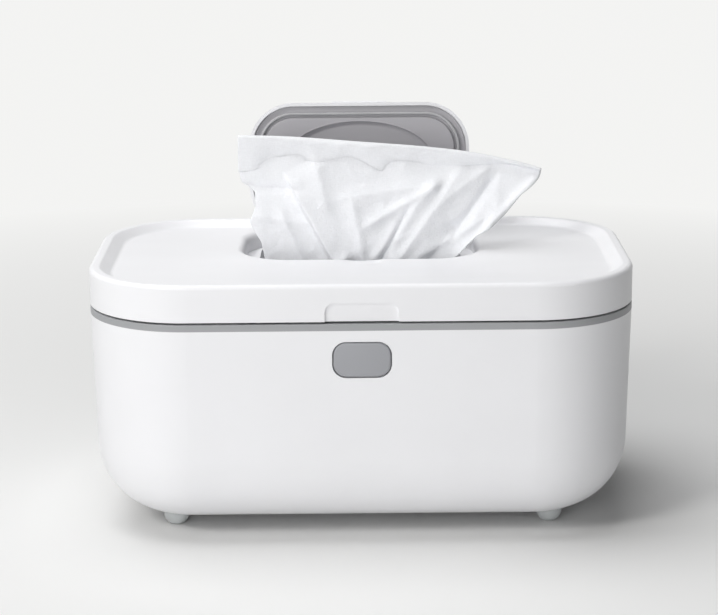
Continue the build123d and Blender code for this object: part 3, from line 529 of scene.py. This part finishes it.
def wall_faces(rings, ring, first=0):
    """Four-sided faces between closed rings of points that follow one another."""
    faces = []
    for step in range(rings - 1):
        for k in range(ring):
            a = first + step * ring + k
            b = first + step * ring + (k + 1) % ring
            faces.append((a, b, b + ring, a + ring))
    return faces


# ------------------------------------------------------------------ the pulled-up wipe

# Its left and right edge as (height, x) in millimetres, from the stack up to the top fold.
WIPE_LEFT = (
    (84.3, -30.0), (96.0, -35.0), (106.0, -40.0), (114.0, -45.0), (121.8, -46.4), (127.5, -50.0),
    (131.5, -51.9), (134.5, -50.6), (138.7, -48.9), (145.5, -49.4), (149.5, -55.6), (156.0, -57.0),
    (170.4, -57.0),
)
WIPE_RIGHT = (
    (84.3, 30.0), (96.0, 34.0), (106.0, 38.5), (113.0, 43.5), (117.2, 47.4), (120.6, 50.7), (124.1, 54.3),
    (127.7, 60.8), (132.9, 67.0), (142.8, 75.4), (147.5, 81.6), (151.0, 84.6), (153.5, 85.2),
)
# How far the top fold stands above the straight line between its ends, over the width.
WIPE_CROWN = (
    (0.0, 0.0), (0.14, 1.7), (0.2, 2.2), (0.376, 3.1), (0.53, 4.0), (0.63, 4.4), (0.73, 4.4), (0.80, 4.0),
    (0.866, 3.1), (0.93, 2.2), (0.98, 1.1), (1.0, 0.0),
)
# How far back the wipe stands at each height.
WIPE_DEPTH = (
    (84.3, 20.0), (96.0, 14.0), (106.0, 12.5), (119.0, 12.5), (138.0, 16.0), (154.0, 20.0), (170.4, 22.0),
)
# How long the part is that hangs down in front of the top fold, over the width.
WIPE_HANG = (
    (0.0, 20.5), (0.05, 19.5), (0.10, 16.5), (0.17, 14.0), (0.30, 13.5), (0.37, 13.0), (0.43, 15.5),
    (0.47, 16.2), (0.52, 13.8), (0.60, 11.6), (0.75, 9.4), (0.90, 5.6), (1.0, 3.4),
)
# How far its lower edge stands off the cloth behind, over the width.
WIPE_LIFT = (
    (0.0, 0.3), (0.04, 0.5), (0.09, -0.3), (0.20, -0.3), (0.25, 0.5), (0.31, 0.3), (0.36, -0.35),
    (0.42, -0.3), (0.47, 0.3), (0.51, -0.35), (0.60, -0.35), (0.65, 0.4), (0.72, 0.8), (0.80, 0.5),
    (0.86, -0.3), (1.0, -0.1),
)
# The heights in these tables are measured with the stack's top at this level.
WIPE_DATUM = 84.0
# Radius of the top fold.
FOLD_RADIUS = 1.3
# A fold that reaches further than this to one side is a whole panel, and falls off evenly.
PANEL_REACH = 8.0
# How far past its ends a fold fades out.
FOLD_END = 5.0
# Lowest lift of the hanging edge, which sinks it into the cloth behind.
DEEPEST_LIFT = -0.35
# Folds: two ends (x, z), how far it stands forward, its reach on the left and on the right side.
WIPE_FOLDS = (
    ((-31.6, 147.5), (-12.6, 113.0), 4.0, 17.0, 0.9),
    ((8.1, 116.0), (32.9, 145.7), 1.9, 2.8, 4.0),
    ((9.6, 113.0), (20.5, 132.5), -2.2, 1.3, 1.3),
    ((18.7, 114.0), (45.7, 151.5), 1.8, 2.6, 4.0),
    ((45.8, 126.5), (60.8, 147.0), -2.9, 2.4, 1.5),
    ((25.8, 113.0), (54.0, 130.0), 2.0, 3.2, 2.2),
    ((31.5, 112.0), (43.0, 127.0), -2.0, 3.6, 3.0),
    ((48.2, 117.2), (84.2, 152.2), 2.4, 2.2, 2.2),
    ((-7.0, 142.5), (34.0, 148.0), 1.5, 3.0, 3.6),
    ((5.8, 131.0), (33.5, 146.5), 1.6, 2.2, 2.4),
    ((-50.3, 147.8), (-33.0, 146.2), -1.8, 1.5, 2.2),
    ((-46.0, 134.0), (-30.0, 131.0), 1.3, 2.5, 4.0),
    ((-27.0, 113.0), (-36.0, 133.0), 1.6, 3.2, 2.0),
    ((2.0, 112.0), (-3.0, 137.0), 1.6, 4.0, 3.0),
    ((58.0, 121.0), (64.0, 138.0), 1.2, 3.0, 3.0),
    ((40.0, 141.0), (58.0, 154.0), 1.4, 2.4, 3.0),
    ((-20.0, 156.0), (-16.0, 140.0), 1.4, 4.0, 4.0),
    ((-12.0, 86.0), (-8.0, 112.0), 2.4, 4.0, 4.0),
    ((14.0, 86.0), (16.0, 112.0), 2.2, 4.0, 3.0),
)


def fold_height(x, z):
    """How far the creases push the cloth forward at (x, z), in millimetres."""
    total = 0.0
    for (ax, az), (bx, bz), amount, reach_left, reach_right in WIPE_FOLDS:
        run = Vector((bx - ax, bz - az))
        length = run.length
        run /= length
        step = Vector((x - ax, z - az))
        on = step.dot(run)
        off = step.x * run.y - step.y * run.x
        reach = reach_right if off > 0 else reach_left
        past = max(0.0, -on, on - length)
        fade = math.exp(-((past / FOLD_END) ** 2))
        if reach > PANEL_REACH:
            side = math.exp(-abs(off) / reach)
        else:
            side = math.exp(-abs(off / reach) ** 1.6)
        total += amount * side * fade
    return total


def ripple(x, z):
    """The small unevenness of damp cloth."""
    broad = noise.noise(Vector((x / 15.0, z / 11.0, 3.7)))
    fine = noise.noise(Vector((x / 4.6, z / 6.0, 8.1)))
    crumple = 1.0 - abs(noise.noise(Vector((x / 7.5 + 2.0, z / 7.0, 21.4)))) * 2.0
    return 0.9 * broad + 0.16 * fine + 0.22 * crumple


def rising_depth(x, z, t, strength):
    """Where the cloth stands, front to back, on its way up; t is 0 at the stack and 1 at the top fold."""
    top_fade = min(1.0, (1.0 - t) / 0.06)
    push = fold_height(x, z) * top_fade + ripple(x, z) * (0.35 + 0.65 * top_fade)
    calm = min(1.0, max(0.25, (z - 88.0) / 16.0))
    return eased(WIPE_DEPTH, z, 5.0) - strength * push * calm


def hanging_place(x, top_z, s, part, strength):
    """Depth and height of the cloth that has passed the top fold; part is 1 at its lower edge."""
    hang = eased(WIPE_HANG, s, 0.02)
    down = part * hang
    arc = math.pi * FOLD_RADIUS
    if down < arc:
        angle = down / FOLD_RADIUS
        y = eased(WIPE_DEPTH, top_z, 5.0) - strength * 0.35 * ripple(x, top_z)
        return y - FOLD_RADIUS * (1 - math.cos(angle)), top_z + FOLD_RADIUS * math.sin(angle) * 0.8
    z = top_z - (down - arc)
    creases = fold_height(x, z) * min(1.0, (top_z - z) / 6.0) + 0.35 * ripple(x, z)
    behind = eased(WIPE_DEPTH, z, 5.0) - strength * creases
    share = (down - arc) / max(0.1, hang - arc)
    share = share * share * (3 - 2 * share)
    loft = 2 * FOLD_RADIUS * (1 - share) + eased(WIPE_LIFT, s, 0.012) * share
    sway = 0.9 * noise.noise(Vector((x / 10.0, z / 9.0, 5.2))) * (1 - share * 0.6)
    return behind - max(DEEPEST_LIFT, loft + sway), z


def pulled_wipe_mesh(columns, rows, strength, rise):
    """Points and faces of the wipe: up from the stack, over its top fold and down in front."""
    foot = WIPE_LEFT[0][0]
    left_top = WIPE_LEFT[-1][0]
    right_top = WIPE_RIGHT[-1][0]
    hang_rows = max(14, rows // 7)
    points = []
    for row in range(rows + hang_rows + 1):
        t = min(1.0, row / rows)
        left_z = foot + (left_top - foot) * t
        right_z = foot + (right_top - foot) * t
        left_x = eased(WIPE_LEFT, left_z, 1.2)
        right_x = eased(WIPE_RIGHT, right_z, 1.2)
        for column in range(columns + 1):
            s = column / columns
            x = left_x * (1 - s) + right_x * s
            z = left_z * (1 - s) + right_z * s + eased(WIPE_CROWN, s, 0.03) * t**3
            if row <= rows:
                y = rising_depth(x, z, t, strength)
            else:
                y, z = hanging_place(x, z, s, (row - rows) / hang_rows, strength)
            points.append((x * MM, y * MM, (z + rise) * MM))
    faces = []
    wide = columns + 1
    for row in range(rows + hang_rows):
        for column in range(columns):
            a = row * wide + column
            faces.append((a, a + 1, a + wide + 1, a + wide))
    return points, faces


# ------------------------------------------------------------------ the stack of wipes

# Rounding of the stack's upright corners.
STACK_CORNER = 4.5 * MM
# One folded wipe from its lower to its upper face: share of its height, and how far its edge draws in.
LAYER_EDGE = ((0.06, 0.75 * MM), (0.28, 0.12 * MM), (0.72, 0.12 * MM), (0.94, 0.75 * MM))
# Divisions along the stack's long sides, and rings that close its top.
STACK_ACROSS = 72
STACK_TOP_RINGS = 14


def stack_rim(side, share, half_x, half_y, level):
    """A point on the stack's outline at one height, seen from its middle."""
    if side == "front":
        x, y = -half_x + 2 * half_x * share, -half_y
    elif side == "right":
        x, y = half_x, -half_y + 2 * half_y * share
    elif side == "back":
        x, y = half_x - 2 * half_x * share, half_y
    else:
        x, y = -half_x, half_y - 2 * half_y * share
    inner = Vector((
        max(-half_x + STACK_CORNER, min(half_x - STACK_CORNER, x)),
        max(-half_y + STACK_CORNER, min(half_y - STACK_CORNER, y)),
    ))
    inner = inner + (Vector((x, y)) - inner).normalized() * STACK_CORNER
    wave = noise.noise(Vector((x * 60.0, y * 60.0, level * 190.0)))
    return inner * (1.0 - 0.0055 * (0.5 + wave))


def stack_mesh(low, high, layers):
    """Points and faces of the stack of folded wipes inside a box."""
    middle = (low + high) / 2
    half_x = (high.x - low.x) / 2
    half_y = (high.y - low.y) / 2
    layer = (high.z - low.z) / layers
    short = STACK_ACROSS // 2
    around = []
    for side, count in (("front", STACK_ACROSS), ("right", short), ("back", STACK_ACROSS), ("left", short)):
        around.extend((side, k / count) for k in range(count))
    rows = []
    for index in range(layers):
        base = low.z + index * layer
        loose_edge = 0.7 * MM * (0.5 + noise.noise(Vector((index * 1.7, 0.3, 0.0))))
        foot_inset = 2.0 * MM * max(0.0, 1.0 - index / 1.5)
        top_inset = 1.6 * MM * max(0.0, 1.0 - (layers - 1 - index) / 1.5)
        for share, inset in LAYER_EDGE:
            rows.append((base + share * layer, inset + loose_edge + foot_inset + top_inset))
    points = []
    for level, inset in rows:
        for side, share in around:
            flat = stack_rim(side, share, half_x - inset, half_y - inset, level)
            points.append((middle.x + flat.x, middle.y + flat.y, level))
    # The top: rings that close towards the middle, with the folded leaf's soft waves.
    ring = len(around)
    last = (len(rows) - 1) * ring
    for step in range(1, STACK_TOP_RINGS):
        share = 1.0 - step / STACK_TOP_RINGS
        for k in range(ring):
            x, y, z = points[last + k]
            x = middle.x + (x - middle.x) * share
            y = middle.y + (y - middle.y) * share
            wave = noise.noise(Vector((x * 45.0, y * 60.0, 4.0)))
            rise = min(1.0, step / 3.0)
            points.append((x, y, min(high.z, z + rise * (0.35 + 0.5 * wave) * MM)))
    faces = wall_faces(len(rows), ring)
    faces.append(tuple(reversed(range(ring))))
    faces.extend(wall_faces(STACK_TOP_RINGS, ring, last))
    faces.append(tuple(range(last + (STACK_TOP_RINGS - 1) * ring, last + STACK_TOP_RINGS * ring)))
    return points, faces


# ------------------------------------------------------------------ the insulation felt

FELT_CORNER = 10.0 * MM
# How far its cut edge wanders.
FELT_WAVE = 0.25 * MM
# Room round the thermostat and the fuse, and the slot for the fuse's leads.
THERMOSTAT_ROOM = 0.6 * MM
FUSE_SIDE_ROOM = 0.5 * MM
FUSE_END_ROOM = 0.6 * MM
LEAD_SLOT = 9.0 * MM
# The cutter is this much taller than the felt.
CUTTER_SHARE = 1.6


def felt_mesh(low, high, edge):
    """Points and faces of the felt pad inside a box, with its edges rounded."""
    middle = (low + high) / 2
    half_x = (high.x - low.x) / 2
    half_y = (high.y - low.y) / 2
    inset_levels = (
        (edge, low.z), (edge * 0.3, low.z + edge * 0.3), (0.0, low.z + edge), (0.0, high.z - edge),
        (edge * 0.3, high.z - edge * 0.3), (edge, high.z),
    )
    points = []
    for inset, level in inset_levels:
        for x, y in rounded_outline(half_x - inset, half_y - inset, FELT_CORNER - inset * 0.5):
            wave = FELT_WAVE * noise.noise(Vector((x * 90.0, y * 90.0, level * 300.0)))
            points.append((middle.x + x - math.copysign(abs(wave), x), middle.y + y, level))
    ring = len(points) // len(inset_levels)
    faces = wall_faces(len(inset_levels), ring)
    faces.append(tuple(reversed(range(ring))))
    faces.append(tuple(range((len(inset_levels) - 1) * ring, len(inset_levels) * ring)))
    return points, faces


def felt_cutter(low, high):
    """An object with the forms of the felt's round hole and slot."""
    thermostat_low, thermostat_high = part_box("thermostat")
    fuse_low, fuse_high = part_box("thermal_fuse")
    middle = (low + high) / 2
    height = (high.z - low.z) * CUTTER_SHARE
    round_middle = (thermostat_low + thermostat_high) / 2
    radius = (thermostat_high.x - thermostat_low.x) / 2 + THERMOSTAT_ROOM
    cutter = bmesh.new()
    bmesh.ops.create_cone(
        cutter, cap_ends=True, segments=48, radius1=radius, radius2=radius, depth=height,
        matrix=Matrix.Translation((round_middle.x, round_middle.y, middle.z)),
    )
    fuse_middle_y = (fuse_low.y + fuse_high.y) / 2
    slot_half = (fuse_high.y - fuse_low.y) / 2 + FUSE_SIDE_ROOM
    slot_left = fuse_low.x - LEAD_SLOT
    slot_right = fuse_high.x + FUSE_END_ROOM
    slot = Matrix.Translation(((slot_left + slot_right) / 2, fuse_middle_y, middle.z))
    slot = slot @ Matrix.Diagonal((slot_right - slot_left, 2 * slot_half, height, 1.0))
    bmesh.ops.create_cube(cutter, size=1.0, matrix=slot)
    mesh = bpy.data.meshes.new("felt_cutter")
    cutter.to_mesh(mesh)
    cutter.free()
    tool = bpy.data.objects.new("felt_cutter", mesh)
    bpy.context.scene.collection.objects.link(tool)
    return tool


# ------------------------------------------------------------------ the studio

# Place, aim and width of each lamp in metres, the name of its power in the studio's values, and its colour.
LAMPS = (
    ("key_lamp", (-0.80, -0.85, 0.90), (0.0, 0.0, 0.08), 0.36, "key_power", (1.0, 0.99, 0.975)),
    ("top_lamp", (-0.38, 0.10, 1.55), (0.0, 0.0, 0.1), 1.2, "top_power", (0.985, 0.99, 1.0)),
    ("fill_lamp", (-0.42, -1.55, 0.30), (0.0, 0.0, 0.05), 0.9, "fill_power", (0.98, 0.985, 1.0)),
)
# The camera fitted to the photograph: its place in metres and its turns in degrees.
CAMERA_AT = (-0.00439, -1.0, 0.335)
CAMERA_TURN = -0.2
CAMERA_DIP = 13.67
CAMERA_LEAN = -0.46
# Half the width of the floor, in metres.
FLOOR_REACH = 9


def studio_sky(strength):
    """Weak even light from all round, seen as plain white."""
    world = bpy.data.worlds.new("studio_sky")
    world.use_nodes = True
    tree = world.node_tree
    tree.nodes.clear()
    output = tree.nodes.new("ShaderNodeOutputWorld")
    even = tree.nodes.new("ShaderNodeBackground")
    even.inputs["Color"].default_value = (0.97, 0.985, 1.0, 1.0)
    even.inputs["Strength"].default_value = strength
    white = tree.nodes.new("ShaderNodeBackground")
    white.inputs["Color"].default_value = (1.0, 1.0, 1.0, 1.0)
    white.inputs["Strength"].default_value = 1.0
    mix = tree.nodes.new("ShaderNodeMixShader")
    tree.links.new(seen_directly(tree), mix.inputs[0])
    tree.links.new(even.outputs[0], mix.inputs[1])
    tree.links.new(white.outputs[0], mix.inputs[2])
    tree.links.new(mix.outputs[0], output.inputs["Surface"])
    return world


def studio_lamp(name, at, towards, width, power, colour):
    """A square soft lamp aimed at a point."""
    data = bpy.data.lights.new(name, "AREA")
    data.shape = "SQUARE"
    data.size = width
    data.energy = power
    data.color = colour
    lamp = bpy.data.objects.new(name, data)
    lamp.location = at
    lamp.rotation_euler = (Vector(towards) - Vector(at)).to_track_quat("-Z", "Y").to_euler()
    bpy.context.scene.collection.objects.link(lamp)


def photo_camera(lens):
    """The camera from which the photograph was taken."""
    data = bpy.data.cameras.new("photo_camera")
    data.lens = lens
    data.sensor_width = 36.0
    data.clip_start = 0.02
    data.clip_end = 50.0
    camera = bpy.data.objects.new("photo_camera", data)
    turn = Matrix.Rotation(math.radians(CAMERA_TURN), 4, "Z")
    turn = turn @ Matrix.Rotation(math.radians(90.0 - CAMERA_DIP), 4, "X")
    turn = turn @ Matrix.Rotation(math.radians(CAMERA_LEAN), 4, "Z")
    camera.matrix_world = Matrix.Translation(CAMERA_AT) @ turn
    bpy.context.scene.collection.objects.link(camera)
    return camera


def wipe_cloth(context):
    """The finish that the stack and the pulled-up wipe share."""
    name = "moist_wipe_cloth"
    return bpy.data.materials.get(name) or moist_cloth(name, context.scene.warmer_colours.cloth)


# ------------------------------------------------------------------ operators


class WARMER_OT_shell(bpy.types.Operator):
    """Finish the white plastic of the housing, base plate, lid, liner and flap"""

    bl_idname = "warmer.shell"
    bl_label = "White plastic"

    def execute(self, context):
        colours = context.scene.warmer_colours
        dress(WHITE_NODES, moulded_plastic("satin_white_plastic", colours.shell, 0.34))
        return {"FINISHED"}


class WARMER_OT_tub(bpy.types.Operator):
    """Finish the grey tub, whose flange is the band under the lid"""

    bl_idname = "warmer.tub"
    bl_label = "Grey tub and band"

    def execute(self, context):
        colours = context.scene.warmer_colours
        dress(("inner_tub",), moulded_plastic("grey_tub_plastic", colours.band, 0.44, 1200.0, 0.016))
        return {"FINISHED"}


class WARMER_OT_button(bpy.types.Operator):
    """Finish the front button"""

    bl_idname = "warmer.button"
    bl_label = "Front button"

    def execute(self, context):
        colours = context.scene.warmer_colours
        grey = moulded_plastic("grey_button_plastic", colours.button, 0.40, 1800.0, 0.012)
        dress(("front_button",), grey)
        return {"FINISHED"}


class WARMER_OT_flap_plate(bpy.types.Operator):
    """Finish the plate with the oval hollow inside the flap"""

    bl_idname = "warmer.flap_plate"
    bl_label = "Flap's inner plate"

    def execute(self, context):
        colours = context.scene.warmer_colours
        grey = moulded_plastic("grey_plate_plastic", colours.plate, 0.36, 1600.0, 0.010)
        dress(("flap_inner_plate",), grey)
        return {"FINISHED"}


class WARMER_OT_seals(bpy.types.Operator):
    """Finish the silicone seals of the lid and the flap"""

    bl_idname = "warmer.seals"
    bl_label = "Seals"

    def execute(self, context):
        colours = context.scene.warmer_colours
        dress(("lid_seal", "flap_seal"), soft_silicone("seal_silicone", colours.seal))
        return {"FINISHED"}


class WARMER_OT_feet(bpy.types.Operator):
    """Finish the translucent rubber feet"""

    bl_idname = "warmer.feet"
    bl_label = "Feet"

    def execute(self, context):
        colours = context.scene.warmer_colours
        dress(("rubber_feet",), soft_silicone("foot_rubber_clear", colours.foot, 0.6, 0.34))
        return {"FINISHED"}


class WARMER_OT_hardware(bpy.types.Operator):
    """Finish the screws, the hinge pins and the thermostat's can"""

    bl_idname = "warmer.hardware"
    bl_label = "Screws and pins"

    def execute(self, context):
        plated = machined_metal("zinc_plated_steel", (0.58, 0.58, 0.56), 0.34, (900.0, 900.0, 60.0))
        dress(SCREW_NODES, plated)
        dress(PIN_NODES, machined_metal("drawn_steel", (0.60, 0.60, 0.61), 0.24))
        return {"FINISHED"}


class WARMER_OT_heater(bpy.types.Operator):
    """Finish the aluminium spreader and the silicone heating mat"""

    bl_idname = "warmer.heater"
    bl_label = "Heater"

    def execute(self, context):
        rolled = machined_metal("rolled_aluminium", (0.78, 0.78, 0.79), 0.32, (25.0, 1800.0, 1800.0))
        dress(("heat_spreader",), rolled)
        dress(("heater_pad",), heater_mat("heater_silicone"))
        return {"FINISHED"}


class WARMER_OT_electrics(bpy.types.Operator):
    """Finish the board, the switch, the lamp, the inlet and the leads"""

    bl_idname = "warmer.electrics"
    bl_label = "Board and leads"

    def execute(self, context):
        dress(("control_board",), circuit_board("green_board"))
        dress(BLACK_NODES, moulded_plastic("black_moulding", (0.028, 0.028, 0.030), 0.45, 1400.0, 0.02))
        dress(("indicator_lamp",), clear_lamp("clear_epoxy"))
        dress(LEAD_NODES, lead_sleeve("lead_braid"))
        return {"FINISHED"}


class WARMER_OT_felt(bpy.types.Operator):
    """Lay the insulation felt under the heater, with its cut-outs"""

    bl_idname = "warmer.felt"
    bl_label = "Insulation felt"

    def execute(self, context):
        low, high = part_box("insulation_pad")
        points, faces = felt_mesh(low, high, context.scene.warmer_sizes.felt_edge)
        pad = new_piece("insulation_felt", points, faces, needled_felt("needled_felt"), smooth=False)
        tool = felt_cutter(low, high)
        cut = pad.modifiers.new("cut-outs", "BOOLEAN")
        cut.operation = "DIFFERENCE"
        cut.solver = "EXACT"
        cut.object = tool
        applied(pad)
        bpy.data.objects.remove(tool)
        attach(pad, "housing")
        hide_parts("insulation_pad")
        return {"FINISHED"}


class WARMER_OT_wipe_stack(bpy.types.Operator):
    """Fill the tub with the folded stack of wipes"""

    bl_idname = "warmer.wipe_stack"
    bl_label = "Stack of wipes"

    def execute(self, context):
        cloth = wipe_cloth(context)
        low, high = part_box("wipe_stack")
        points, faces = stack_mesh(low, high, context.scene.warmer_sizes.stack_layers)
        stack = new_piece("stack_of_wipes", points, faces, cloth)
        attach(stack, "housing")
        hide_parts("wipe_stack")
        return {"FINISHED"}


class WARMER_OT_pulled_wipe(bpy.types.Operator):
    """Pull the top wipe up through the opening"""

    bl_idname = "warmer.pulled_wipe"
    bl_label = "Pulled-up wipe"

    def execute(self, context):
        sizes = context.scene.warmer_sizes
        cloth = wipe_cloth(context)
        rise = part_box("wipe_stack")[1].z / MM - WIPE_DATUM
        points, faces = pulled_wipe_mesh(sizes.wipe_columns, sizes.wipe_rows, sizes.fold_strength, rise)
        wipe = new_piece("pulled_up_wipe_cloth", points, faces, cloth)
        body = wipe.modifiers.new("cloth thickness", "SOLIDIFY")
        body.thickness = sizes.cloth_thickness
        body.offset = 0.0
        applied(wipe)
        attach(wipe, "lid")
        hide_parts("pull_up_wipe")
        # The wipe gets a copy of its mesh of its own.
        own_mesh(wipe)
        return {"FINISHED"}


class WARMER_OT_studio(bpy.types.Operator):
    """Set the floor, the lamps, the sky and the camera of the photograph"""

    bl_idname = "warmer.studio"
    bl_label = "Studio"

    def execute(self, context):
        scene = context.scene
        studio = scene.warmer_studio
        scene.view_settings.view_transform = "Standard"
        reach = FLOOR_REACH
        floor = new_piece(
            "studio_floor",
            [(-reach, -reach, 0), (reach, -reach, 0), (reach, reach, 0), (-reach, reach, 0)],
            [(0, 1, 2, 3)],
            studio_floor("studio_floor_paint", scene.warmer_colours.floor),
            smooth=False,
        )
        scene.world = studio_sky(studio.sky)
        for name, at, towards, width, power, colour in LAMPS:
            studio_lamp(name, at, towards, width, getattr(studio, power), colour)
        scene.camera = photo_camera(studio.lens)
        return {"FINISHED"}


class WARMER_PT_panel(bpy.types.Panel):
    """Lists the steps that dress the warmer"""

    bl_idname = "WARMER_PT_panel"
    bl_label = "Wipe warmer"
    bl_space_type = "VIEW_3D"
    bl_region_type = "UI"
    bl_category = "Wipe warmer"

    def draw(self, context):
        layout = self.layout
        for step in STEPS:
            layout.operator(step.bl_idname)
        for group in ("warmer_colours", "warmer_sizes", "warmer_studio"):
            values = getattr(context.scene, group)
            box = layout.box()
            for name in values.bl_rna.properties.keys():
                if name not in ("rna_type", "name"):
                    box.prop(values, name)


STEPS = (
    WARMER_OT_shell,
    WARMER_OT_tub,
    WARMER_OT_button,
    WARMER_OT_flap_plate,
    WARMER_OT_seals,
    WARMER_OT_feet,
    WARMER_OT_hardware,
    WARMER_OT_heater,
    WARMER_OT_electrics,
    WARMER_OT_felt,
    WARMER_OT_wipe_stack,
    WARMER_OT_pulled_wipe,
    WARMER_OT_studio,
)
GROUPS = (WARMER_PG_colours, WARMER_PG_sizes, WARMER_PG_studio)


def register():
    for item in (*GROUPS, *STEPS, WARMER_PT_panel):
        bpy.utils.register_class(item)
    bpy.types.Scene.warmer_colours = PointerProperty(type=WARMER_PG_colours)
    bpy.types.Scene.warmer_sizes = PointerProperty(type=WARMER_PG_sizes)
    bpy.types.Scene.warmer_studio = PointerProperty(type=WARMER_PG_studio)


def unregister():
    del bpy.types.Scene.warmer_studio
    del bpy.types.Scene.warmer_sizes
    del bpy.types.Scene.warmer_colours
    for item in reversed((*GROUPS, *STEPS, WARMER_PT_panel)):
        bpy.utils.unregister_class(item)


def main():
    register()
    for step in STEPS:
        group, name = step.bl_idname.split(".")
        getattr(getattr(bpy.ops, group), name)()


if __name__ == "__main__":
    main()
